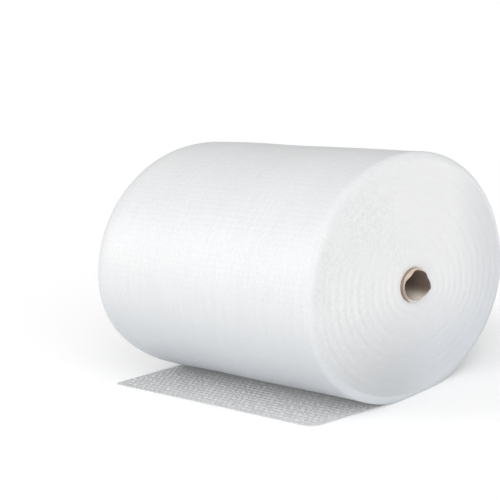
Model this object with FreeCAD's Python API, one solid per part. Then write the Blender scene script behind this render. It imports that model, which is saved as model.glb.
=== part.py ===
"""A roll of bubble film, lying on its side with its free end run out on the floor.

The film is wound on a cardboard core. The roll's axis is X, and its near end faces +X.
The free end runs out towards -Y. All sizes are in millimetres, and the floor is z = 0.
"""

import FreeCAD
import Part
import math
import os

Vector = FreeCAD.Vector

# The film and its roll, slumped wider than it is tall
film_width = 500.0
roll_half_width = 248.0
roll_top_rise = 213.0
roll_under_drop = 188.5
flat_spot_depth = 7.0

# How the roll's rim rounds over at each end
near_rim_depth = 10.0
near_rim_inset = 14.0
far_rim_depth = 40.0
far_rim_inset = 9.5
rim_bands = 2

# The turns that show on both ends: a spiral ridge that slopes inwards to a valley and then steps up again,
# with the valley at this share of the way from one ridge to the next
shown_turns = 7
valley_depth = 3.5
valley_share = 0.82
outer_land = 6.0
inner_land = 10.0

# Where the outline's lowest stretch begins, in degrees down from the roll's side
underside_angle = 66.0

# The free end of the film, lying on the floor in front of the roll and running askew towards its far end
free_end_thickness = 4.0
free_end_reach_far = 225.5
free_end_reach_near = 214.5
free_end_inset_far = 22.5
free_end_inset_near = 8.5
free_end_drift_far = 29.0
free_end_drift_near = 35.0
free_end_corner_far = 8.0
free_end_corner_near = 26.0

# Its rows of bubbles, side by side with its cut edge, and the grooves between them
bubble_pitch = 11.5
groove_depth = 2.5
groove_half_width = 2.0

# The cardboard core
core_bore_radius = 28.0
core_wall = 4.0
core_proud = 6.5
core_clearance = 0.2

# The core's near mouth, crushed wider than it is tall, with a crease at its back side
crush_length = 70.0
mouth_half_width = 28.5
mouth_half_height = 23.5
crease_angle = -24.5
crease_spread = 45.0
crease_share = 0.25
crush_bands = 6
outline_points = 7

# Spare length for shapes that cut through others, and how near two points count as one
cut_spare = 20.0
same_place = 0.01

axis_height = roll_under_drop - flat_spot_depth
near_end = film_width / 2
far_end = -film_width / 2
core_radius = core_bore_radius + core_wall
crush_start = near_end + core_proud - crush_length


def ellipse_arc(x, centre_y, half_width, rise, first=0.0, last=180.0):
    """An arc across the roll, in degrees from its +Y side over the top, or under it for a negative rise."""
    centre = Vector(x, centre_y, axis_height)
    side = centre + Vector(0, half_width, 0)
    crown = centre + Vector(0, 0, rise)
    ellipse = Part.Ellipse(side, crown, centre)
    return Part.ArcOfEllipse(ellipse, math.radians(first), math.radians(last)).toShape()


def roll_outline(x, inset):
    """The roll's outline at one place along its axis, drawn in by inset all round, as four arcs."""
    half_width = roll_half_width - inset
    arcs = [ellipse_arc(x, 0, half_width, roll_top_rise - inset)]
    marks = (0.0, underside_angle, 180.0 - underside_angle, 180.0)
    for first, last in zip(marks, marks[1:]):
        arcs.append(ellipse_arc(x, 0, half_width, inset - roll_under_drop, first, last))
    return arcs


def rim_outlines(end, direction, depth, inset):
    """The outlines that round the rim over, from the end face to the roll's side."""
    outlines = []
    for band in range(rim_bands + 1):
        angle = math.pi / 2 * band / rim_bands
        x = end - direction * depth * (1 - math.cos(angle))
        outlines.append(roll_outline(x, inset * (1 - math.sin(angle))))
    return outlines


def side_faces():
    """The roll's rounded rims and the long side between them."""
    far = rim_outlines(far_end, -1, far_rim_depth, far_rim_inset)
    near = rim_outlines(near_end, 1, near_rim_depth, near_rim_inset)
    outlines = far + near[::-1]
    faces = []
    for outline, neighbour in zip(outlines, outlines[1:]):
        for arc, next_arc in zip(outline, neighbour):
            faces.append(Part.makeRuledSurface(arc, next_arc))
    return faces


def spiral_size(crossing, outer):
    """The spiral's size after so many half turns inwards from its outermost size."""
    inner = core_radius + inner_land
    return outer + (inner - outer) * crossing / (2 * shown_turns)


def half_turn(x, crossing, lag, rim_inset):
    """Half a turn inwards: over the roll from its +Y side when crossing is even, and back under it when odd."""
    outer_inset = rim_inset + outer_land
    starts = spiral_size(crossing + lag, roll_half_width - outer_inset)
    stops = spiral_size(crossing + lag + 1, roll_half_width - outer_inset)
    if crossing % 2 == 0:
        rise = spiral_size(crossing + lag + 0.5, roll_top_rise - outer_inset)
        return ellipse_arc(x, (starts - stops) / 2, (starts + stops) / 2, rise)
    drop = spiral_size(crossing + lag + 0.5, roll_under_drop - outer_inset)
    return ellipse_arc(x, (stops - starts) / 2, (starts + stops) / 2, -drop)


def side_point(x, crossing, rim_inset):
    """The point where the spiral crosses the roll's middle height on the +Y side."""
    return Vector(x, spiral_size(crossing, roll_half_width - rim_inset - outer_land), axis_height)


def end_faces(end, direction, rim_inset):
    """One end of the roll: the land at its rim, the turns as ridge and valley, and the flat about the core."""
    floor = end - direction * valley_depth
    half_turns = 2 * shown_turns
    valley_lag = 2 * valley_share
    ridge = [half_turn(end, crossing, 0, rim_inset) for crossing in range(half_turns)]
    faces = []
    for crossing in range(half_turns - 2):
        valley = half_turn(floor, crossing, valley_lag, rim_inset)
        faces.append(Part.makeRuledSurface(ridge[crossing], valley))
        faces.append(Part.makeRuledSurface(valley, ridge[crossing + 2]))
    steps = []
    for crossing in (0, half_turns - 2):
        outer_point = side_point(end, crossing, rim_inset)
        valley_point = side_point(floor, crossing + valley_lag, rim_inset)
        inner_point = side_point(end, crossing + 2, rim_inset)
        corners = [outer_point, valley_point, inner_point, outer_point]
        faces.append(Part.Face(Part.makePolygon(corners)))
        steps.append(Part.makeLine(inner_point, outer_point))
    rim = Part.Wire(roll_outline(end, rim_inset))
    outermost = Part.Wire([ridge[0], ridge[1], steps[0]])
    innermost = Part.Wire([ridge[-2], ridge[-1], steps[1]])
    faces.append(Part.makeFace([rim, outermost], "Part::FaceMakerBullseye"))
    faces.append(Part.Face(innermost))
    return faces


def wound_body():
    """The wound film without its hole and its free end, flattened where it lies."""
    faces = side_faces()
    faces += end_faces(near_end, 1, near_rim_inset)
    faces += end_faces(far_end, -1, far_rim_inset)
    skin = Part.makeCompound(faces)
    skin.sewShape()
    body = Part.Solid(skin.Shells[0])
    if body.Volume < 0:
        body.reverse()
    side = 2 * (roll_half_width + cut_spare)
    below = Part.makeBox(film_width + 2 * cut_spare, side, cut_spare)
    below.translate(Vector(far_end - cut_spare, -side / 2, -cut_spare))
    return body.cut(below)


def mouth_point(angle, growth):
    """A point of the crushed mouth's outline, and of the outlines that lie growth outside it."""
    off_crease = abs((angle - crease_angle + 180) % 360 - 180)
    pinch = 1 + crease_share * max(0.0, 1 - off_crease / crease_spread) ** 2
    turn = math.radians(angle)
    across = (mouth_half_width + growth) * pinch * math.cos(turn)
    up = (mouth_half_height + growth) * pinch * math.sin(turn)
    return across, up


def core_outline(share, growth):
    """The core's outline at a share of its crushed stretch, growth outside its bore, split at the crease."""
    eased = share * share * (3 - 2 * share)
    x = crush_start + share * crush_length
    radius = core_bore_radius + growth
    edges = []
    for first in (crease_angle, crease_angle + 180):
        points = []
        for step in range(outline_points):
            angle = first + 180 * step / (outline_points - 1)
            turn = math.radians(angle)
            across, up = mouth_point(angle, growth)
            y = (1 - eased) * radius * math.cos(turn) + eased * across
            z = (1 - eased) * radius * math.sin(turn) + eased * up
            points.append(Vector(x, y, axis_height + z))
        if share == 0:
            edges.append(Part.Arc(points[0], points[outline_points // 2], points[-1]).toShape())
        else:
            curve = Part.BSplineCurve()
            curve.interpolate(points)
            edges.append(curve.toShape())
    return Part.Wire(edges)


def core_form(growth, spare):
    """A solid that fills the core out to growth beyond its bore, round and then crushed."""
    round_length = crush_start - far_end + core_proud + spare
    start = Vector(far_end - core_proud - spare, 0, axis_height)
    form = Part.makeCylinder(core_bore_radius + growth, round_length, start, Vector(1, 0, 0))
    outlines = [core_outline(band / crush_bands, growth) for band in range(crush_bands + 1)]
    form = form.fuse(Part.makeLoft(outlines, True, True))
    if spare:
        mouth = Part.Face(outlines[-1])
        form = form.fuse(mouth.extrude(Vector(spare, 0, 0)))
    return form.removeSplitter()


def cardboard_core():
    return core_form(core_wall, 0).cut(core_form(0, cut_spare))


def half_width_under(height):
    """Half the roll's width at a height below its axis."""
    share = (axis_height - height) / roll_under_drop
    return roll_half_width * math.sqrt(1 - share * share)


def free_end_tips():
    """The two corners of the free end's cut edge, at the roll's far and near sides."""
    far_tip = Vector(far_end + free_end_inset_far - free_end_drift_far, -free_end_reach_far, 0)
    near_tip = Vector(near_end - free_end_inset_near - free_end_drift_near, -free_end_reach_near, 0)
    return far_tip, near_tip


def row_grooves():
    """What is cut out between the free end's rows of bubbles, in front of the roll."""
    far_tip, near_tip = free_end_tips()
    along = (near_tip - far_tip).normalize()
    inward = Vector(0, 0, 1).cross(along)
    row_pitch = bubble_pitch * math.sqrt(3) / 2
    rows = int((free_end_reach_near - half_width_under(free_end_thickness)) / row_pitch)
    top = cut_spare
    top_half_width = groove_half_width * (groove_depth + top) / groove_depth
    grooves = []
    for row in range(1, rows):
        middle = far_tip - along * cut_spare + inward * (row * row_pitch)
        middle += Vector(0, 0, free_end_thickness - groove_depth)
        rise = Vector(0, 0, groove_depth + top)
        corners = [middle, middle + rise - inward * top_half_width, middle + rise + inward * top_half_width, middle]
        section = Part.Face(Part.makePolygon(corners))
        grooves.append(section.extrude(along * (film_width + 2 * cut_spare)))
    return grooves


def free_end():
    """The last of the film, flat on the floor from under the roll out to its cut edge."""
    nip = -half_width_under(0)
    far_side = far_end + free_end_inset_far
    near_side = near_end - free_end_inset_near
    far_tip, near_tip = free_end_tips()
    corners = [
        Vector(far_side, 0, 0),
        Vector(far_side, nip, 0),
        far_tip,
        near_tip,
        Vector(near_side, nip, 0),
        Vector(near_side, 0, 0),
    ]
    outline = Part.makePolygon(corners + corners[:1])
    sheet = Part.Face(outline).extrude(Vector(0, 0, free_end_thickness))
    for tip, radius in ((far_tip, free_end_corner_far), (near_tip, free_end_corner_near)):
        middle = tip + Vector(0, 0, free_end_thickness / 2)
        upright = [edge for edge in sheet.Edges if edge.CenterOfMass.isEqual(middle, same_place)]
        sheet = sheet.makeFillet(radius, upright)
    return sheet.cut(row_grooves())


def bubble_film():
    film = wound_body().fuse(free_end()).removeSplitter()
    return film.cut(core_form(core_wall + core_clearance, cut_spare))


def only_solid(shape):
    """The single solid that a piece is made of."""
    if len(shape.Solids) != 1 or not shape.isValid():
        raise ValueError("a piece must be one valid solid")
    return shape.Solids[0]


pieces = {
    "bubble_film": bubble_film,
    "cardboard_core": cardboard_core,
}

os.makedirs("parts", exist_ok=True)
for name, make in pieces.items():
    piece = only_solid(make())
    box = piece.BoundBox
    print(name, "volume", round(piece.Volume), "lengths", box.XLength, box.YLength, box.ZLength)
    piece.exportStep("parts/" + name + ".step")
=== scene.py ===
import bpy
import math
import numpy as np
from mathutils import Matrix, Vector


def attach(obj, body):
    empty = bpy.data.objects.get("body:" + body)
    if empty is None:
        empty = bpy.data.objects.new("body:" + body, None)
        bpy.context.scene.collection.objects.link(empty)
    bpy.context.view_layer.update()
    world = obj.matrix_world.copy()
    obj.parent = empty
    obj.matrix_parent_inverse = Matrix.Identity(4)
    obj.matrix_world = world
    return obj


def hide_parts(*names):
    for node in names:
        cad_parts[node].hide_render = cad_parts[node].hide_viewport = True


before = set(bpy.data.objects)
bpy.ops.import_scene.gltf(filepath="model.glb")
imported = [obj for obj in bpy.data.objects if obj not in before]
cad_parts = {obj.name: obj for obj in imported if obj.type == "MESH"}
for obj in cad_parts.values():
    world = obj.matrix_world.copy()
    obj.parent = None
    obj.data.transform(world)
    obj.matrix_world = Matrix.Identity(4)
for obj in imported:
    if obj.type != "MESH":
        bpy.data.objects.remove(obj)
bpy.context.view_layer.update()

MM = 0.001

# The film and its roll
FILM_WIDTH = 500 * MM
ROLL_HALF_WIDTH = 248 * MM
ROLL_TOP_RISE = 213 * MM
ROLL_UNDER_DROP = 188.5 * MM
AXIS_HEIGHT = 181.5 * MM
NEAR_END = FILM_WIDTH / 2
FAR_END = -FILM_WIDTH / 2
FLAT_EDGE_SOFTNESS = 1.5 * MM

# How the rim rounds over at each end: depth along the roll, and inset across it
NEAR_RIM = (10 * MM, 14 * MM)
FAR_RIM = (40 * MM, 9.5 * MM)

# The wound turns, how high each stands, and how far the film wandered along the roll while they were wound.
# RELIEF_SHARES is how much of a turn's height is even, and how much is uneven.
TURNS = 64
STEPS_PER_TURN = 3
STEPS_AROUND = 192
RIM_STEPS = 7
SIDE_STEPS = 44
HOLE_STEPS = 28
TURN_RELIEF = 0.4 * MM
RELIEF_SHARES = (0.8, 0.2)
TURN_DRIFT = 0.28 * MM

# The side's slack: its size, how far it leans inwards, how fast it sets in from each rim, and the height
# above the floor by which it is all there
SIDE_SLACK = 0.9 * MM
SLACK_SAG = 0.8
SLACK_ONSET = 6
SLACK_HEIGHT = 40 * MM

# Uneven swells: how many waves each has, and the most swings that one wave makes in each direction. A swing
# is one round of the roll, or so many radians from turn to turn, or so many to a metre along it.
SLACK_WAVES = (7, 5)
SLACK_SWING = 9
RELIEF_WAVES = (6, 9)
RELIEF_SWING = 0.37
DRIFT_WAVES = (12, 4)
DRIFT_SWING = 0.4
AIR_WAVES = (40, 13)
RAGGED_WAVES = (6, 9)
LEAST_WAVE = 0.5

# The draws that the swells start from
SLACK_SEED = 11
NEAR_TURNS_SEED = 21
FAR_TURNS_SEED = 31
NEAR_RIM_SEED = 41
FAR_RIM_SEED = 42
AIR_SEED = 51

# The bundles that the turns lie in: each slopes inwards to a valley, then steps up to the next ridge
BUNDLES = 7
VALLEY_DEPTH = 0.25 * MM
VALLEY_SHARE = 0.55
FADE_TURN = 0.25
OUTER_LAND = 6 * MM
INNER_LAND = 10 * MM

# How deep the ends lie inside their rims, and over how many turns they get there
END_RECESS = 1.1 * MM
RECESS_TURNS = 6

# The core
CORE_BORE = 28 * MM
CORE_WALL = 4 * MM
CORE_CLEARANCE = 0.2 * MM
HOLE_GROWTH = CORE_WALL + CORE_CLEARANCE
CORE_PROUD = 6.5 * MM
CORE_STEPS_AROUND = 144
CORE_STEPS_ALONG = 72
PLY_STEPS = 8
CUT_ROUNDING = 0.5 * MM
CUT_RAGGEDNESS = 0.6 * MM

# Its crushed near mouth, with the crease at its back side. Angles run from the back side over the top.
CRUSH_LENGTH = 70 * MM
CRUSH_START = NEAR_END + CORE_PROUD - CRUSH_LENGTH
MOUTH_HALF_WIDTH = 28.5 * MM
MOUTH_HALF_HEIGHT = 23.5 * MM
CREASE_ANGLE = -24.5
CREASE_SPREAD = 45.0
CREASE_SHARE = 0.36

# The mouth's inner plies, each as an angle, a spread and how far they stand in: pushed in at the upper front,
# a little slack down the front, and pressed thin at the back. The nick in the rim is given in the same way.
PLY_LENGTH = 24 * MM
PUSHED_PLIES = (120, 27, 4.2 * MM)
SLACK_PLIES = (185, 45, 0.6 * MM)
THIN_PLIES = (-30, 80, -3.5 * MM)
NICK = (262, 5, 3.5 * MM)
PLY_PITCH = 0.8 * MM
STRIP_PITCH = 95 * MM

# The free end and its bubbles
SHEET_BASE = 1.3 * MM
BUBBLE_PITCH = 11.5 * MM
BUBBLE_RADIUS = 4.95 * MM
BUBBLE_HEIGHT = 1.6 * MM
BUBBLE_SIDES = 12
PATCH_SIDES = 6
SPARE_COLUMNS = 8

# A bubble's rings, each as a share of its height and of its radius
BUBBLE_RINGS = ((0.38, 0.91), (0.72, 0.76), (0.93, 0.52), (1.0, 0.26))

# How far in from the edges the bubbles are let down, how unevenly the others stand, and over what length
LET_DOWN = 9 * MM
SWELL = 0.4
SWELL_REACH = 120 * MM

# How far from the roll's middle the free end stops under it
TUCKED_END = 55 * MM

# The free end's reach, inset, drift and corner radius at the roll's far side and at its near side
FREE_END_REACH = (225.5 * MM, 214.5 * MM)
FREE_END_INSET = (22.5 * MM, 8.5 * MM)
FREE_END_DRIFT = (29 * MM, 35 * MM)
FREE_END_CORNERS = (8 * MM, 26 * MM)
CORNER_CUTS = 5

# How near two points are to be merged, on smooth forms and among the bubbles, and how far off its place a
# point may be and still count as on it, as a share and in degrees
MERGE_GAP = 0.02 * MM
BUBBLE_MERGE_GAP = 0.05 * MM
NEARLY = 1.01
NEARLY_ANGLE = 1

# The camera, set to the photograph's view
PHOTO_SIDE = 500
FOCAL_PIXELS = 1402.2
SENSOR = 36.0
VIEW_AZIMUTH = 45.983
VIEW_ELEVATION = 12.13
VIEW_ROLL = -5.391
VIEW_TARGET = Vector((-0.1153, 0.0, 0.2063))
VIEW_DISTANCE = 2.4867

# The light: the pale room's strength and, for each soft lamp, its bearing from straight in front of the
# roll's side towards its near end, its height above level, its spread and its strength
ROOM_LIGHT = 0.385
KEY_LAMP = (-50, 25, 36, 1.02)
END_LAMP = (60, 30, 60, 1.69)
TOP_LAMP = (0, 80, 90, 0.57)
FLOOR_GLOW = 0.1
FLOOR_SIZE = 240.0
SMOOTH_ANGLE = 55

# The finishes' grains, in swells to a metre
CLOUDS = 7.0
EDGE_CLOUDS = 9.0
EDGE_PATCHES = 11.0
FREE_END_CLOUDS = 14.0
FIBRE_CLOUDS = 40.0
RIM_SPECKS = 120.0
SIDE_GRAIN = 160.0
SPECKLE = 170.0
EDGE_GRAIN = 190.0
STREAKS = 210.0
EDGE_CREASES = 260.0
FIBRES = 350.0
FREE_END_CREASES = 420.0
STREAK_STRETCH = 0.04

# How rough each finish is, and how much film bends light
SIDE_ROUGHNESS = 0.42
EDGE_ROUGHNESS = 0.5
FREE_END_ROUGHNESS = 0.3
WALL_ROUGHNESS = 0.85
RIM_ROUGHNESS = 0.9
FLOOR_ROUGHNESS = 0.9
FILM_IOR = 1.5

# How far light spreads inside the free end, how much of it does, and how high up its welds reach
LIGHT_SPREAD = 12 * MM
SPREAD_SHARE = 0.9
WELD_HEIGHT = 1.2 * MM

# Where one tone passes into another: into painted shade towards the floor on the side and on the ends, from
# front to back and into painted shade at the back edge on the ends, from painted light upwards into painted
# shade and into painted shade in the crease in the core, and on the core's rim
SIDE_FLOOR_SHADE_SPAN = (60 * MM, 240 * MM)
END_FLOOR_SHADE_SPAN = (20 * MM, 200 * MM)
END_FRONT = (-90 * MM, 70 * MM)
END_BACK = (100 * MM, 240 * MM)
WALL_LEAN = 0.4
WALL_SHADE_SPAN = (AXIS_HEIGHT - 22 * MM, AXIS_HEIGHT + 4 * MM)
CREASE_SHADE_SPAN = (16 * MM, 38 * MM)
RIM_BLEACHED = (-12 * MM, 14 * MM)
RIM_RAISED = (AXIS_HEIGHT - 4 * MM, AXIS_HEIGHT + 16 * MM)
SEAM_HALF_WIDTH = 0.012

# Where each pattern begins and is full: a bubble in pitches from its middle, the others by the strength of
# their grain
BUBBLE_EDGE = (0.34, 0.5)
STREAK_CUT = (0.42, 0.62)
EDGE_GRAIN_CUT = (0.44, 0.62)
EDGE_PATCH_CUT = (0.38, 0.6)
SPECKLE_CUT = (0.40, 0.62)
PLY_CUT = (0.0, 0.3)

# How strongly each pattern shows over the tone that it lies on
SIDE_BUBBLE_SHARE = 0.14
STREAK_SHARE = 0.16
EDGE_GRAIN_SHARE = 0.3
SPECKLE_SHARE = 0.4
# Painted light on the free end's welds
WELD_LIGHT_SHARE = 0.8
FAR_SIDE_SHARE = 0.6
CREASE_SHADE = 0.6
FIBRE_SHARE = 0.4
SEAM_SHARE = 0.3
RIM_SPECK_SHARE = 0.5
PLY_LINE_SHARE = 0.25

# Each finish's small relief, as a depth and a strength, and the shares of its finer grains
SIDE_BUMP = (0.45 * MM, 0.6)
EDGE_BUMP = (0.6 * MM, 0.5)
FREE_END_BUMP = (0.4 * MM, 0.5)
WALL_BUMP = (0.3 * MM, 0.4)
RIM_BUMP = (0.3 * MM, 0.6)
SIDE_GRAIN_SHARE = 0.6
FRONT_GRAIN_SHARE = 0.5
COARSE_DETAIL = 2.0
MIDDLE_DETAIL = 3.0
FINE_DETAIL = 4.0

# The sockets of a Mix node that passes one colour into another: its factor and two colours, and its result
MIX_SOCKETS = (0, 6, 7)
MIX_RESULT = 2


def clear_selection():
    if bpy.context.object and bpy.context.object.mode != "OBJECT":
        bpy.ops.object.mode_set(mode="OBJECT")
    bpy.ops.object.select_all(action="DESELECT")


def pick(piece):
    clear_selection()
    piece.select_set(True)
    bpy.context.view_layer.objects.active = piece


def edit(piece):
    """Edit mode on one piece, with nothing selected."""
    pick(piece)
    bpy.ops.object.mode_set(mode="EDIT")
    bpy.ops.mesh.select_all(action="DESELECT")


def leave_edit():
    bpy.ops.object.mode_set(mode="OBJECT")


def named(piece, name):
    piece.name = name
    piece.data.name = name
    return piece


def joined(pieces, name):
    """Several pieces made one, their touching points merged and their faces turned outwards."""
    pick(pieces[0])
    for piece in pieces[1:]:
        piece.select_set(True)
    bpy.ops.object.join()
    whole = bpy.context.object
    edit(whole)
    bpy.ops.mesh.select_all(action="SELECT")
    bpy.ops.mesh.remove_doubles(threshold=MERGE_GAP)
    bpy.ops.mesh.normals_make_consistent(inside=False)
    leave_edit()
    return named(whole, name)


def laid_grid(steps_along, steps_around, place, material):
    """A grid laid on a surface. place takes shares along and around, and gives points and lengths."""
    clear_selection()
    bpy.ops.mesh.primitive_grid_add(x_subdivisions=steps_along, y_subdivisions=steps_around, size=1)
    piece = bpy.context.object
    mesh = piece.data
    corners = np.empty(len(mesh.vertices) * 3)
    mesh.vertices.foreach_get("co", corners)
    shares = np.clip(corners.reshape(-1, 3)[:, :2] + 0.5, 0, 1)
    points, lengths = place(shares[:, 0], shares[:, 1])
    mesh.vertices.foreach_set("co", points.astype(np.float64).ravel())
    loop_points = np.empty(len(mesh.loops), dtype=np.int64)
    mesh.loops.foreach_get("vertex_index", loop_points)
    mesh.uv_layers.active.data.foreach_set("uv", lengths[loop_points].ravel())
    mesh.materials.append(material)
    mesh.update()
    return piece


def waves(seed, shape, *phases):
    """A smooth uneven swell between about -1 and 1 that closes on itself around a full turn."""
    count, highest = shape
    draw = np.random.RandomState(seed)
    total = 0
    for _ in range(count):
        angle = draw.uniform(0, 2 * math.pi)
        for phase in phases:
            angle = angle + draw.randint(-highest, highest + 1) * phase
        total = total + draw.uniform(LEAST_WAVE, 1.0) * np.cos(angle)
    return total / ((LEAST_WAVE + 1.0) / 2 * math.sqrt(count))


def roll_outline(turn, inset):
    """The slumped outline of the roll, drawn in by inset, with the flat that it lies on."""
    across = (ROLL_HALF_WIDTH - inset) * np.cos(turn)
    rise = np.where(np.sin(turn) >= 0, ROLL_TOP_RISE - inset, ROLL_UNDER_DROP - inset)
    height = AXIS_HEIGHT + rise * np.sin(turn)
    settled = 0.5 * (height + np.sqrt(height ** 2 + FLAT_EDGE_SOFTNESS ** 2))
    low = AXIS_HEIGHT - ROLL_UNDER_DROP
    lift = 0.5 * (low + math.sqrt(low ** 2 + FLAT_EDGE_SOFTNESS ** 2))
    return across, settled - lift


def off_angle(turn, angle):
    """How many degrees a turn is off an angle, the shorter way round."""
    return np.abs((np.degrees(turn) - angle + 180) % 360 - 180)


def mouth_outline(turn, growth):
    """The core's crushed mouth, growth outside its bore, with the crease at its back side."""
    pinch = 1 + CREASE_SHARE * np.clip(1 - off_angle(turn, CREASE_ANGLE) / CREASE_SPREAD, 0, None) ** 2
    across = (MOUTH_HALF_WIDTH + growth) * pinch * np.cos(turn)
    up = (MOUTH_HALF_HEIGHT + growth) * pinch * np.sin(turn)
    return across, up


def core_outline(x, turn, growth):
    """The core's outline at a place along it: round, then crushed towards the near mouth."""
    share = np.clip((x - CRUSH_START) / CRUSH_LENGTH, 0, 1)
    eased = share * share * (3 - 2 * share)
    radius = CORE_BORE + growth
    across, up = mouth_outline(turn, growth)
    y = (1 - eased) * radius * np.cos(turn) + eased * across
    z = AXIS_HEIGHT + (1 - eased) * radius * np.sin(turn) + eased * up
    return y, z


def bundle_depth(depth_in, turn, width):
    """How deep an end lies below its ridges, at a depth in from the rim of a face that is so wide."""
    pitch = (width - OUTER_LAND - INNER_LAND) / BUNDLES
    bundle = (depth_in - OUTER_LAND) / pitch - turn / (2 * math.pi)
    share = bundle - np.floor(bundle)
    depth = np.minimum(share / VALLEY_SHARE, (1 - share) / (1 - VALLEY_SHARE))
    depth = depth * depth * (3 - 2 * depth)
    begun = turn / (2 * math.pi)
    fade_in = np.where(bundle < 1, np.clip(begun / FADE_TURN, 0, 1), 1)
    fade_out = np.where(bundle > BUNDLES - 2, np.clip((1 - begun) / FADE_TURN, 0, 1), 1)
    return VALLEY_DEPTH * np.where((bundle > 0) & (bundle < BUNDLES - 1), depth * fade_in * fade_out, 0)


def turn_angle(around):
    """The angle round the roll, from its back side over the top."""
    return 2 * math.pi * around


def side_profile(along):
    """Places along the roll's side, from the near end's rim to the far end's, with each place's inset."""
    quarter = math.pi / 2
    near_share = RIM_STEPS / (2 * RIM_STEPS + SIDE_STEPS)
    near = np.clip(along / near_share, 0, 1) * quarter
    far = np.clip((1 - along) / near_share, 0, 1) * quarter
    middle = np.clip((along - near_share) / (1 - 2 * near_share), 0, 1)
    near_depth, near_inset = NEAR_RIM
    far_depth, far_inset = FAR_RIM
    near_x = NEAR_END - near_depth * (1 - np.cos(near))
    far_x = FAR_END + far_depth * (1 - np.cos(far))
    span_start = NEAR_END - near_depth
    span_end = FAR_END + far_depth
    middle_x = span_start + (span_end - span_start) * middle
    x = np.where(along < near_share, near_x, np.where(along > 1 - near_share, far_x, middle_x))
    inset = near_inset * (1 - np.sin(near)) + far_inset * (1 - np.sin(far))
    return x, inset


def place_side(along, around):
    """The roll's side and its rounded rims, slightly slack between them."""
    x, inset = side_profile(along)
    turn = turn_angle(around)
    y, z = roll_outline(turn, inset)
    hold = np.clip(np.minimum(along, 1 - along) * SLACK_ONSET, 0, 1)
    off_floor = np.clip(z / SLACK_HEIGHT, 0, 1)
    swell = waves(SLACK_SEED, SLACK_WAVES, turn, x * SLACK_SWING)
    slack = SIDE_SLACK * hold * off_floor * (swell - SLACK_SAG)
    y = y + slack * np.cos(turn)
    z = z + slack * np.sin(turn)
    lengths = np.stack([x, turn * (ROLL_HALF_WIDTH + AXIS_HEIGHT) / 2], axis=1)
    return np.stack([x, y, z], axis=1), lengths


def end_place(end, direction, rim, seed):
    """How one end's turns lie, as a spiral from the rim in to the core's hole."""
    steps = TURNS * STEPS_PER_TURN

    def place(along, around):
        spiral = (np.round(along * (steps + STEPS_PER_TURN)) - STEPS_PER_TURN) / STEPS_PER_TURN + around
        spiral = np.clip(spiral, 0, TURNS)
        share = spiral / TURNS
        turn = turn_angle(around)
        outer_y, outer_z = roll_outline(turn, rim[1])
        inner_y, inner_z = core_outline(np.full_like(turn, end), turn, HOLE_GROWTH)
        y = outer_y + (inner_y - outer_y) * share
        z = outer_z + (inner_z - outer_z) * share
        width = np.hypot(outer_y - inner_y, outer_z - inner_z)
        inside_edges = np.clip(np.minimum(spiral, TURNS - spiral) / RECESS_TURNS, 0, 1)
        groove = 0.5 * np.cos(2 * math.pi * spiral)
        unevenness = waves(seed, RELIEF_WAVES, turn, spiral * RELIEF_SWING)
        relief = TURN_RELIEF * groove * (RELIEF_SHARES[0] + RELIEF_SHARES[1] * unevenness)
        drift = TURN_DRIFT * waves(seed + 1, DRIFT_WAVES, turn, spiral * DRIFT_SWING)
        depth = inside_edges * (END_RECESS + relief + drift) + bundle_depth(share * width, turn, width)
        x = end - direction * depth
        lengths = np.stack([spiral, turn * (ROLL_HALF_WIDTH - share * width)], axis=1)
        return np.stack([x, y, z], axis=1), lengths

    return steps + STEPS_PER_TURN, place


def place_hole(along, around):
    """The hole through the turns, which the core fills."""
    x = NEAR_END + (FAR_END - NEAR_END) * along
    turn = turn_angle(around)
    y, z = core_outline(x, turn, HOLE_GROWTH)
    return np.stack([x, y, z], axis=1), np.stack([x, turn * CORE_BORE], axis=1)


def wound_film(side_film, cut_edges):
    """The wound turns: the side, both ends with every turn, and the hole for the core, as one closed form."""
    side = laid_grid(2 * RIM_STEPS + SIDE_STEPS, STEPS_AROUND, place_side, side_film)
    near_steps, near_place = end_place(NEAR_END, 1, NEAR_RIM, NEAR_TURNS_SEED)
    near = laid_grid(near_steps, STEPS_AROUND, near_place, cut_edges)
    far_steps, far_place = end_place(FAR_END, -1, FAR_RIM, FAR_TURNS_SEED)
    far = laid_grid(far_steps, STEPS_AROUND, far_place, cut_edges)
    hole = laid_grid(HOLE_STEPS, STEPS_AROUND, place_hole, side_film)
    return joined([side, near, far, hole], "wound_film")


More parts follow.
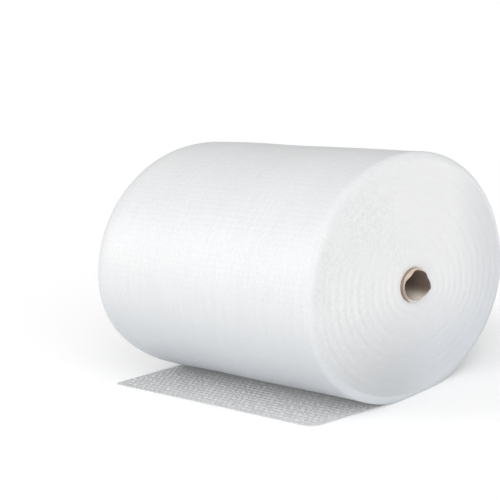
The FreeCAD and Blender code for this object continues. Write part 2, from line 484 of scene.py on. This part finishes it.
def bubble_cell():
    """One bubble in its six-sided patch of film, with the patch's corners half way to its neighbours."""
    clear_selection()
    middle = (0, 0, SHEET_BASE)
    bpy.ops.mesh.primitive_circle_add(vertices=BUBBLE_SIDES, radius=BUBBLE_RADIUS, location=middle)
    cell = bpy.context.object
    bpy.ops.object.transform_apply(location=True, rotation=False, scale=False)
    corner = BUBBLE_PITCH / math.sqrt(3)
    edit(cell)
    bpy.ops.mesh.select_all(action="SELECT")
    bpy.ops.mesh.extrude_region_move()
    bpy.ops.transform.resize(value=(corner / BUBBLE_RADIUS,) * 3, center_override=middle)
    leave_edit()
    for vertex in cell.data.vertices:
        angle = math.degrees(math.atan2(vertex.co.y, vertex.co.x))
        flat_side = abs(math.remainder(angle, 360 / PATCH_SIDES)) < NEARLY_ANGLE
        vertex.select = vertex.select and flat_side
    for selectable in list(cell.data.edges) + list(cell.data.polygons):
        selectable.select = False
    bpy.ops.object.mode_set(mode="EDIT")
    bpy.ops.transform.resize(value=(math.sqrt(3) / 2,) * 3, center_override=middle)
    bpy.ops.mesh.select_all(action="DESELECT")
    leave_edit()
    for edge in cell.data.edges:
        off_middle = [cell.data.vertices[end].co.xy.length for end in edge.vertices]
        edge.select = max(off_middle) < BUBBLE_RADIUS * NEARLY
    bpy.ops.object.mode_set(mode="EDIT")
    bpy.ops.mesh.select_mode(type="EDGE")
    reached, radius = 0, 1
    for rise, size in BUBBLE_RINGS:
        step = (0, 0, (rise - reached) * BUBBLE_HEIGHT)
        bpy.ops.mesh.extrude_edges_move(TRANSFORM_OT_translate={"value": step})
        bpy.ops.transform.resize(value=(size / radius, size / radius, 1), center_override=(0, 0, 0))
        reached, radius = rise, size
    bpy.ops.mesh.edge_face_add()
    bpy.ops.mesh.select_mode(type="VERT")
    leave_edit()
    return cell


def repeated(piece, count, offset):
    pick(piece)
    array = piece.modifiers.new("rows", "ARRAY")
    array.count = count
    array.use_relative_offset = False
    array.use_constant_offset = True
    array.constant_offset_displace = offset
    array.use_merge_vertices = True
    array.merge_threshold = BUBBLE_MERGE_GAP
    bpy.ops.object.modifier_apply(modifier=array.name)


def trimmed(piece, point, outward):
    """Cuts away what lies outward of a standing plane through a point."""
    edit(piece)
    bpy.ops.mesh.select_all(action="SELECT")
    bpy.ops.mesh.bisect(plane_co=point, plane_no=outward, clear_outer=True)
    leave_edit()


def free_end_corners():
    """The free end's corners: at the roll's far side, the cut edge's two tips, and at its near side."""
    nip = ROLL_HALF_WIDTH * math.sqrt(1 - (AXIS_HEIGHT / ROLL_UNDER_DROP) ** 2)
    far_side = FAR_END + FREE_END_INSET[0]
    near_side = NEAR_END - FREE_END_INSET[1]
    return (
        Vector((far_side, -nip, 0)),
        Vector((far_side - FREE_END_DRIFT[0], -FREE_END_REACH[0], 0)),
        Vector((near_side - FREE_END_DRIFT[1], -FREE_END_REACH[1], 0)),
        Vector((near_side, -nip, 0)),
    )


def corner_arc(corner, before, after, radius):
    """The arc that rounds a corner: its centre, the direction that it faces, and half its angle."""
    to_before = (before - corner).normalized()
    to_after = (after - corner).normalized()
    inward = (to_before + to_after).normalized()
    half = to_before.angle(to_after) / 2
    return corner + inward * radius / math.sin(half), -inward, math.pi / 2 - half


def free_end_arcs():
    """The arcs at the two corners of the cut edge, each with its radius."""
    corners = free_end_corners()
    for place, radius in zip((1, 2), FREE_END_CORNERS):
        yield (*corner_arc(corners[place], corners[place - 1], corners[place + 1], radius), radius)


def let_down(sheet):
    """Lets the cut bubbles along the free end's edges down, and makes the others stand unevenly."""
    points = np.array([vertex.co for vertex in sheet.data.vertices])
    corners = free_end_corners()
    off_edge = np.full(len(points), math.inf)
    for start, stop in zip(corners, corners[1:]):
        inward = Vector((0, 0, 1)).cross(stop - start).normalized()
        off_edge = np.minimum(off_edge, (points - np.array(start)) @ np.array(inward))
    for centre, outward, spread, radius in free_end_arcs():
        from_centre = (points - np.array(centre))[:, :2]
        distance = np.linalg.norm(from_centre, axis=1)
        at_corner = from_centre @ np.array(outward)[:2] > distance * math.cos(spread)
        off_edge = np.where(at_corner, np.minimum(off_edge, radius - distance), off_edge)
    air = np.clip(off_edge / LET_DOWN, 0, 1)
    phases = 2 * math.pi * points / SWELL_REACH
    swell = waves(AIR_SEED, AIR_WAVES, phases[:, 0], phases[:, 1])
    air = air * air * (3 - 2 * air) * (1 - SWELL + SWELL * swell)
    points[:, 2] = SHEET_BASE + (points[:, 2] - SHEET_BASE) * air
    sheet.data.vertices.foreach_set("co", points.ravel())
    sheet.data.update()


def free_end(film):
    """The free end, lying on the floor with its bubbles up in rows beside its cut edge."""
    sheet = bubble_cell()
    row = BUBBLE_PITCH * math.sqrt(3) / 2
    corners = free_end_corners()
    cut = corners[2] - corners[1]
    columns = math.ceil(cut.length / BUBBLE_PITCH) + SPARE_COLUMNS
    row_pairs = math.ceil((FREE_END_REACH[0] - TUCKED_END) / (2 * row)) + 1
    repeated(sheet, columns, (BUBBLE_PITCH, 0, 0))
    repeated(sheet, 2, (BUBBLE_PITCH / 2, row, 0))
    repeated(sheet, row_pairs, (0, 2 * row, 0))
    askew = Vector((1, 0, 0)).rotation_difference(cut).to_matrix().to_4x4()
    first_row = Matrix.Translation((-BUBBLE_PITCH, row / 2, 0))
    sheet.data.transform(Matrix.Translation(corners[1]) @ askew @ first_row)
    trimmed(sheet, (0, -TUCKED_END, 0), (0, 1, 0))
    for start, stop in zip(corners, corners[1:]):
        trimmed(sheet, start, (stop - start).cross(Vector((0, 0, 1))))
    for centre, outward, spread, radius in free_end_arcs():
        for step in range(CORNER_CUTS):
            turn = spread * (2 * (step + 1) / (CORNER_CUTS + 1) - 1)
            facing = Matrix.Rotation(turn, 3, "Z") @ outward
            trimmed(sheet, centre + facing * radius, facing)
    let_down(sheet)
    edit(sheet)
    bpy.ops.mesh.select_all(action="SELECT")
    bpy.ops.mesh.remove_doubles(threshold=BUBBLE_MERGE_GAP)
    bpy.ops.mesh.select_all(action="DESELECT")
    bpy.ops.mesh.select_mode(type="EDGE")
    bpy.ops.mesh.select_non_manifold(extend=False)
    bpy.ops.mesh.extrude_edges_move(TRANSFORM_OT_translate={"value": (0, 0, -SHEET_BASE)})
    bpy.ops.transform.resize(value=(1, 1, 0), center_override=(0, 0, 0))
    bpy.ops.mesh.edge_face_add()
    bpy.ops.mesh.select_mode(type="VERT")
    bpy.ops.mesh.select_all(action="SELECT")
    bpy.ops.mesh.normals_make_consistent(inside=False)
    leave_edit()
    sheet.data.materials.append(film)
    return named(sheet, "free_end")


def rim_place(end, direction, seed):
    """How the core's cut end lies: where its rim stands along the roll, for a share of the wall."""
    angle, spread, depth = NICK

    def x_of(turn, share):
        rounding = CUT_ROUNDING * (2 * share - 1) ** 4
        ragged = CUT_RAGGEDNESS * (1 + waves(seed, RAGGED_WAVES, turn))
        nick = depth * np.exp(-(off_angle(turn, angle) / spread) ** 2) if direction > 0 else 0
        return end - direction * np.maximum(rounding + ragged + nick, 0)

    return x_of


def ply_stand(x, turn, share):
    """How far the wall's plies stand in from their own line near the mouth, the inner ones the most."""
    near = np.clip((x - (NEAR_END + CORE_PROUD - PLY_LENGTH)) / PLY_LENGTH, 0, 1)
    stand = 0
    for angle, spread, depth in (PUSHED_PLIES, SLACK_PLIES, THIN_PLIES):
        stand = stand + depth * np.exp(-(off_angle(turn, angle) / spread) ** 4)
    return stand * near ** 1.5 * (1 - share)


def core_tube(inside, outside, rim):
    """The cardboard core, with its crushed near mouth and its ragged cut ends."""
    near_x = rim_place(NEAR_END + CORE_PROUD, 1, NEAR_RIM_SEED)
    far_x = rim_place(FAR_END - CORE_PROUD, -1, FAR_RIM_SEED)

    def place_at(x, turn, share):
        y, z = core_outline(x, turn, CORE_WALL * share - ply_stand(x, turn, share))
        return np.stack([x, y, z], axis=1)

    def wall_place(share):
        def place(along, around):
            turn = turn_angle(around)
            x = near_x(turn, share) + (far_x(turn, share) - near_x(turn, share)) * along
            return place_at(x, turn, share), np.stack([x, turn * CORE_BORE], axis=1)
        return place

    def rim_faces(x_of):
        def place(along, around):
            turn = turn_angle(around)
            lengths = np.stack([along * CORE_WALL, turn * CORE_BORE], axis=1)
            return place_at(x_of(turn, along), turn, along), lengths
        return place

    patches = [
        laid_grid(CORE_STEPS_ALONG, CORE_STEPS_AROUND, wall_place(0), inside),
        laid_grid(CORE_STEPS_ALONG, CORE_STEPS_AROUND, wall_place(1), outside),
        laid_grid(PLY_STEPS, CORE_STEPS_AROUND, rim_faces(near_x), rim),
        laid_grid(PLY_STEPS, CORE_STEPS_AROUND, rim_faces(far_x), rim),
    ]
    return joined(patches, "core_tube")


class Value:
    """A socket of a finish. An expression on it adds the Math nodes that work it out."""

    def __init__(self, finish, socket):
        self.finish = finish
        self.socket = socket

    def math(self, operation, *others):
        inputs = dict(enumerate((self,) + others))
        return self.finish.node("ShaderNodeMath", {"operation": operation}, inputs)

    def __add__(self, other):
        return self.math("ADD", other)

    def __radd__(self, other):
        return self.math("ADD", other)

    def __sub__(self, other):
        return self.math("SUBTRACT", other)

    def __rsub__(self, other):
        return self.finish.node("ShaderNodeMath", {"operation": "SUBTRACT"}, {0: other, 1: self})

    def __mul__(self, other):
        return self.math("MULTIPLY", other)

    def __rmul__(self, other):
        return self.math("MULTIPLY", other)

    def __truediv__(self, other):
        return self.math("DIVIDE", other)

    def lowest(self, other):
        return self.math("MINIMUM", other)

    def between(self, low, high):
        """0 below low, 1 above high, and smooth between them."""
        settings = {"interpolation_type": "SMOOTHSTEP"}
        inputs = {"Value": self, "From Min": low, "From Max": high}
        return self.finish.node("ShaderNodeMapRange", settings, inputs)


class Finish:
    """A material while it is made: its nodes, and the shader that they feed."""

    def __init__(self, name, **fixed):
        self.material = bpy.data.materials.new(name)
        self.material.use_nodes = True
        self.tree = self.material.node_tree
        self.shader = self.tree.nodes["Principled BSDF"]
        for socket, value in fixed.items():
            self.shader.inputs[socket.replace("_", " ")].default_value = value

    def node(self, kind, settings, inputs, output=0):
        """A node of any kind: its settings first, then the values or links of its sockets."""
        made = self.tree.nodes.new(kind)
        for name, value in settings.items():
            setattr(made, name, value)
        for socket, value in inputs.items():
            if isinstance(value, Value):
                self.tree.links.new(value.socket, made.inputs[socket])
            else:
                made.inputs[socket].default_value = value
        return Value(self, made.outputs[output])

    def place(self):
        return self.node("ShaderNodeTexCoord", {}, {}, "Object")

    def lengths(self):
        """The piece's own map: lengths along and around it."""
        return self.node("ShaderNodeTexCoord", {}, {}, "UV")

    def part(self, vector, axis):
        return self.node("ShaderNodeSeparateXYZ", {}, {0: vector}, axis)

    def vector(self, x, y, z=0.0):
        return self.node("ShaderNodeCombineXYZ", {}, {0: x, 1: y, 2: z})

    def noise(self, vector, scale, detail=COARSE_DETAIL):
        return self.node("ShaderNodeTexNoise", {}, {"Vector": vector, "Scale": scale, "Detail": detail})

    def mix(self, factor, first, second):
        """One colour passing into another."""
        settings = {"data_type": "RGBA"}
        inputs = dict(zip(MIX_SOCKETS, (factor, first, second)))
        return self.node("ShaderNodeMix", settings, inputs, MIX_RESULT)

    def shaded_towards_floor(self, colour, settled, low, high):
        """A colour that passes into painted shade, given as settled, towards the floor."""
        height = self.part(self.place(), "Z")
        return self.mix(1 - height.between(low, high), colour, settled)

    def bump(self, height, distance, strength):
        inputs = {"Height": height, "Distance": distance, "Strength": strength}
        return self.node("ShaderNodeBump", {}, inputs)

    def feed(self, **links):
        for socket, value in links.items():
            self.tree.links.new(value.socket, self.shader.inputs[socket.replace("_", " ")])
        return self.material


def rgb(red, green, blue):
    return (red, green, blue, 1.0)


def hex_distance(finish, across, around, pitch):
    """The distance, in pitches, to the nearest bubble's middle in a close-packed sheet."""
    row_pitch = pitch * math.sqrt(3)
    nearest = None
    for shift in (0.0, 0.5):
        u = (across / pitch + shift).math("FRACT") - 0.5
        v = ((around / row_pitch + shift).math("FRACT") - 0.5) * math.sqrt(3)
        squared = u * u + v * v
        nearest = squared if nearest is None else nearest.lowest(squared)
    return nearest.math("SQRT")


# The film's tones: on its side, on its cut edges, and along the free end. The tones towards the floor and at
# the ends' back edge are painted shade.
SIDE_MILK = rgb(0.73, 0.735, 0.74)
SIDE_PALE = rgb(0.76, 0.763, 0.766)
SIDE_BUBBLES = rgb(0.62, 0.64, 0.66)
SIDE_STREAKS = rgb(0.60, 0.62, 0.65)
# Painted shade: the side's tone towards the floor
SIDE_FLOOR_SHADE = rgb(0.55, 0.575, 0.60)
END_MILK = rgb(0.72, 0.725, 0.73)
END_PALE = rgb(0.76, 0.76, 0.76)
END_SPECKS = rgb(0.58, 0.60, 0.62)
# Painted shade at the back edge of the ends
END_BACK_SHADE = rgb(0.60, 0.61, 0.63)
# Painted shade on the ends towards the floor, at the back and at the front
END_FLOOR_SHADE_BACK = rgb(0.57, 0.595, 0.63)
END_FLOOR_SHADE_FRONT = rgb(0.49, 0.505, 0.52)
FREE_END_MILK = rgb(0.88, 0.88, 0.885)
FREE_END_PALE = rgb(0.96, 0.96, 0.96)
FREE_END_SPECKS = rgb(0.76, 0.76, 0.77)
FREE_END_FAR_SIDE = rgb(0.64, 0.64, 0.65)

# The cardboard's tones: on its walls and on its cut rim. The inside's upper tone is painted shade and its
# lower one painted light, and the outside's tones and the crease's are painted shade.
# Painted shade on the upper inside, painted light on the lower inside
INSIDE_SHADED = rgb(0.14, 0.095, 0.07)
INSIDE_LIT = rgb(0.80, 0.74, 0.66)
# Painted shade: the outer wall's tones, above and below
OUTSIDE_SHADED_UPPER = rgb(0.30, 0.23, 0.18)
OUTSIDE_SHADED_LOWER = rgb(0.26, 0.20, 0.16)
# Painted shade in the core's crease
WALL_CREASE_SHADE = rgb(0.06, 0.045, 0.045)
WALL_FIBRES = rgb(0.34, 0.27, 0.21)
WALL_SEAM = rgb(0.2, 0.15, 0.12)
RIM_LOW_TAN = rgb(0.38, 0.31, 0.26)
RIM_HIGH_TAN = rgb(0.64, 0.53, 0.41)
RIM_SPECK_TAN = rgb(0.60, 0.50, 0.42)
RIM_BLEACH = rgb(0.76, 0.74, 0.70)
RIM_PLIES = rgb(0.42, 0.34, 0.28)
FLOOR_WHITE = rgb(0.96, 0.96, 0.96)
WHITE = rgb(1, 1, 1)


def side_finish():
    """Milky film seen from its flat side, with the bubbles under it showing as a faint pattern, and painted
    shade towards the floor.
    """
    finish = Finish("film_side", Roughness=SIDE_ROUGHNESS, IOR=FILM_IOR)
    lengths = finish.lengths()
    across = finish.part(lengths, "X")
    around = finish.part(lengths, "Y")
    distance = hex_distance(finish, across, around, BUBBLE_PITCH)
    bubble = 1 - distance.between(*BUBBLE_EDGE)
    place = finish.place()
    colour = finish.mix(finish.noise(place, CLOUDS), SIDE_MILK, SIDE_PALE)
    colour = finish.mix(bubble * SIDE_BUBBLE_SHARE, colour, SIDE_BUBBLES)
    drawn_out = finish.vector(across, around * STREAK_STRETCH)
    streaks = finish.noise(drawn_out, STREAKS).between(*STREAK_CUT)
    colour = finish.mix(streaks * STREAK_SHARE, colour, SIDE_STREAKS)
    # Painted shade darkens the side towards the floor
    colour = finish.shaded_towards_floor(colour, SIDE_FLOOR_SHADE, *SIDE_FLOOR_SHADE_SPAN)
    height = bubble + finish.noise(place, SIDE_GRAIN) * SIDE_GRAIN_SHARE
    normal = finish.bump(height, *SIDE_BUMP)
    return finish.feed(Base_Color=colour, Normal=normal)


def ends_finish():
    """The film's cut edges, turn on turn, with the ends of the bubbles as fine grain at the front, painted
    shade towards the floor that is darker at the front, and painted shade at the back edge.
    """
    finish = Finish("film_edges", Roughness=EDGE_ROUGHNESS, IOR=FILM_IOR)
    place = finish.place()
    colour = finish.mix(finish.noise(place, EDGE_CLOUDS), END_MILK, END_PALE)
    grain = finish.noise(place, EDGE_GRAIN, MIDDLE_DETAIL).between(*EDGE_GRAIN_CUT)
    patches = finish.noise(place, EDGE_PATCHES).between(*EDGE_PATCH_CUT)
    front = 1 - finish.part(place, "Y").between(*END_FRONT)
    colour = finish.mix(grain * patches * front * EDGE_GRAIN_SHARE, colour, END_SPECKS)
    # Painted shade towards the back edge of each end
    back_shade = finish.part(place, "Y").between(*END_BACK)
    colour = finish.mix(back_shade, colour, END_BACK_SHADE)
    # Painted shade towards the floor, darker at the front: settled holds this painted shade
    settled = finish.mix(front, END_FLOOR_SHADE_BACK, END_FLOOR_SHADE_FRONT)
    colour = finish.shaded_towards_floor(colour, settled, *END_FLOOR_SHADE_SPAN)
    height = finish.noise(place, EDGE_CREASES, FINE_DETAIL) + grain * front * FRONT_GRAIN_SHARE
    normal = finish.bump(height, *EDGE_BUMP)
    return finish.feed(Base_Color=colour, Normal=normal)


def free_end_finish():
    """Milky film with its bubbles up, through which the light spreads from bubble to bubble, and painted
    light on the welds between them.
    """
    finish = Finish(
        "free_end_film",
        Roughness=FREE_END_ROUGHNESS,
        IOR=FILM_IOR,
        Subsurface_Weight=SPREAD_SHARE,
        Subsurface_Scale=LIGHT_SPREAD,
        Subsurface_Radius=(1.0, 1.0, 1.0),
    )
    place = finish.place()
    colour = finish.mix(finish.noise(place, FREE_END_CLOUDS), FREE_END_MILK, FREE_END_PALE)
    speckle = finish.noise(place, SPECKLE, MIDDLE_DETAIL).between(*SPECKLE_CUT)
    colour = finish.mix(speckle * SPECKLE_SHARE, colour, FREE_END_SPECKS)
    # Painted light: the welds between the bubbles, where shade falls, are lifted towards the pale tone
    weld_light = 1 - finish.part(place, "Z").between(SHEET_BASE, SHEET_BASE + WELD_HEIGHT)
    colour = finish.mix(weld_light * WELD_LIGHT_SHARE, colour, FREE_END_PALE)
    far_side = 1 - finish.part(place, "X").between(FAR_END, 0)
    colour = finish.mix(far_side * FAR_SIDE_SHARE, colour, FREE_END_FAR_SIDE)
    normal = finish.bump(finish.noise(place, FREE_END_CREASES), *FREE_END_BUMP)
    return finish.feed(Base_Color=colour, Normal=normal)


def core_wall_finish(name, upper, lower):
    """Cardboard wound from a strip with a spiral seam: a tone above and one below, and painted shade in its
    crease. On the inside the tone above is painted shade and the one below painted light; on the outside both
    are painted shade.
    """
    finish = Finish(name, Roughness=WALL_ROUGHNESS)
    lengths = finish.lengths()
    along = finish.part(lengths, "X")
    around = finish.part(lengths, "Y")
    strip = (along / STRIP_PITCH + around / (2 * math.pi * CORE_BORE)).math("FRACT")
    seam = 1 - (strip - 0.5).math("ABSOLUTE").between(0.0, SEAM_HALF_WIDTH)
    place = finish.place()
    fibres = finish.noise(place, FIBRES, FINE_DETAIL)
    leaning = finish.part(place, "Z") + finish.part(place, "Y") * WALL_LEAN
    # Painted light and shade: the lower tone below passes into the upper tone above
    colour = finish.mix(leaning.between(*WALL_SHADE_SPAN), lower, upper)
    # Painted shade in the crease
    crease_shade = finish.part(place, "Y").between(*CREASE_SHADE_SPAN)
    colour = finish.mix(crease_shade * CREASE_SHADE, colour, WALL_CREASE_SHADE)
    clouds = finish.noise(place, FIBRE_CLOUDS, FINE_DETAIL)
    colour = finish.mix(clouds * FIBRE_SHARE, colour, WALL_FIBRES)
    colour = finish.mix(seam * SEAM_SHARE, colour, WALL_SEAM)
    normal = finish.bump(fibres - seam, *WALL_BUMP)
    return finish.feed(Base_Color=colour, Normal=normal)


def core_rim_finish():
    """The cardboard's cut rim: tan in front, bleached towards the back and below, its plies as rings."""
    finish = Finish("core_plies", Roughness=RIM_ROUGHNESS)
    across = finish.part(finish.lengths(), "X")
    plies = ((across / PLY_PITCH).math("FRACT") - 0.5).math("ABSOLUTE").between(*PLY_CUT)
    place = finish.place()
    height = finish.part(place, "Z")
    bleached = (finish.part(place, "Y") - (height - AXIS_HEIGHT)).between(*RIM_BLEACHED)
    tan = finish.mix(height.between(*RIM_RAISED), RIM_LOW_TAN, RIM_HIGH_TAN)
    specks = finish.noise(place, RIM_SPECKS, MIDDLE_DETAIL)
    tan = finish.mix(specks * RIM_SPECK_SHARE, tan, RIM_SPECK_TAN)
    colour = finish.mix(bleached, tan, RIM_BLEACH)
    colour = finish.mix((1 - plies) * PLY_LINE_SHARE, colour, RIM_PLIES)
    normal = finish.bump(plies, *RIM_BUMP)
    return finish.feed(Base_Color=colour, Normal=normal)


def set_camera():
    """A camera at the photograph's angle, distance and tilt."""
    azimuth = math.radians(VIEW_AZIMUTH)
    elevation = math.radians(VIEW_ELEVATION)
    tilt = math.radians(VIEW_ROLL)
    back = Vector((
        math.sin(azimuth) * math.cos(elevation),
        -math.cos(azimuth) * math.cos(elevation),
        math.sin(elevation),
    ))
    level = Vector((math.cos(azimuth), math.sin(azimuth), 0.0))
    upright = back.cross(level)
    right = math.cos(tilt) * level + math.sin(tilt) * upright
    up = -math.sin(tilt) * level + math.cos(tilt) * upright
    clear_selection()
    bpy.ops.object.camera_add()
    camera = bpy.context.object
    camera.name = "photo_camera"
    camera.data.lens = FOCAL_PIXELS * SENSOR / PHOTO_SIDE
    camera.data.sensor_width = SENSOR
    camera.data.clip_end = 2 * FLOOR_SIZE
    turned = Matrix((right, up, back)).transposed().to_4x4()
    camera.matrix_world = Matrix.Translation(VIEW_TARGET + back * VIEW_DISTANCE) @ turned
    bpy.context.scene.camera = camera


def add_floor():
    clear_selection()
    bpy.ops.mesh.primitive_plane_add(size=FLOOR_SIZE)
    floor = named(bpy.context.object, "floor")
    finish = Finish(
        "pale_floor",
        Base_Color=FLOOR_WHITE,
        Roughness=FLOOR_ROUGHNESS,
        Emission_Color=WHITE,
        Emission_Strength=FLOOR_GLOW,
    )
    floor.data.materials.append(finish.material)


def add_lamp(name, bearing, height, spread, strength):
    """A soft lamp so far off that it lights everything alike. Its angles are in degrees."""
    turn = math.radians(bearing)
    rise = math.radians(height)
    towards = Vector((math.sin(turn) * math.cos(rise), -math.cos(turn) * math.cos(rise), math.sin(rise)))
    clear_selection()
    bpy.ops.object.light_add(type="SUN")
    lamp = bpy.context.object
    lamp.name = name
    lamp.data.energy = strength
    lamp.data.angle = math.radians(spread)
    lamp.rotation_euler = towards.to_track_quat("Z", "Y").to_euler()


def set_light():
    """A pale room, seen as plain white, and three soft lamps: at the side, past the near end, overhead."""
    world = bpy.data.worlds.new("pale_room")
    world.use_nodes = True
    nodes = world.node_tree.nodes
    nodes["Background"].inputs["Color"].default_value = WHITE
    seen = nodes.new("ShaderNodeLightPath").outputs["Is Camera Ray"]
    strength = nodes.new("ShaderNodeMath")
    strength.operation = "MAXIMUM"
    strength.inputs[1].default_value = ROOM_LIGHT
    world.node_tree.links.new(seen, strength.inputs[0])
    world.node_tree.links.new(strength.outputs[0], nodes["Background"].inputs["Strength"])
    bpy.context.scene.world = world
    add_lamp("key_lamp", *KEY_LAMP)
    add_lamp("end_lamp", *END_LAMP)
    add_lamp("top_lamp", *TOP_LAMP)
    bpy.context.scene.view_settings.view_transform = "Standard"


def dress(piece, node):
    """Smooths a finished piece, rides it on the part and lets it stand for a CAD node."""
    pick(piece)
    bpy.ops.object.shade_smooth_by_angle(angle=math.radians(SMOOTH_ANGLE))
    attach(piece, "root")
    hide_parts(node)


set_camera()
dress(wound_film(side_finish(), ends_finish()), "bubble_film")
dress(free_end(free_end_finish()), "bubble_film")
# The inside: painted shade above, painted light below
core_inside = core_wall_finish("core_inside", INSIDE_SHADED, INSIDE_LIT)
# The outside: dark with painted shade, above and below
core_outside = core_wall_finish("core_outside", OUTSIDE_SHADED_UPPER, OUTSIDE_SHADED_LOWER)
dress(core_tube(core_inside, core_outside, core_rim_finish()), "cardboard_core")
add_floor()
set_light()
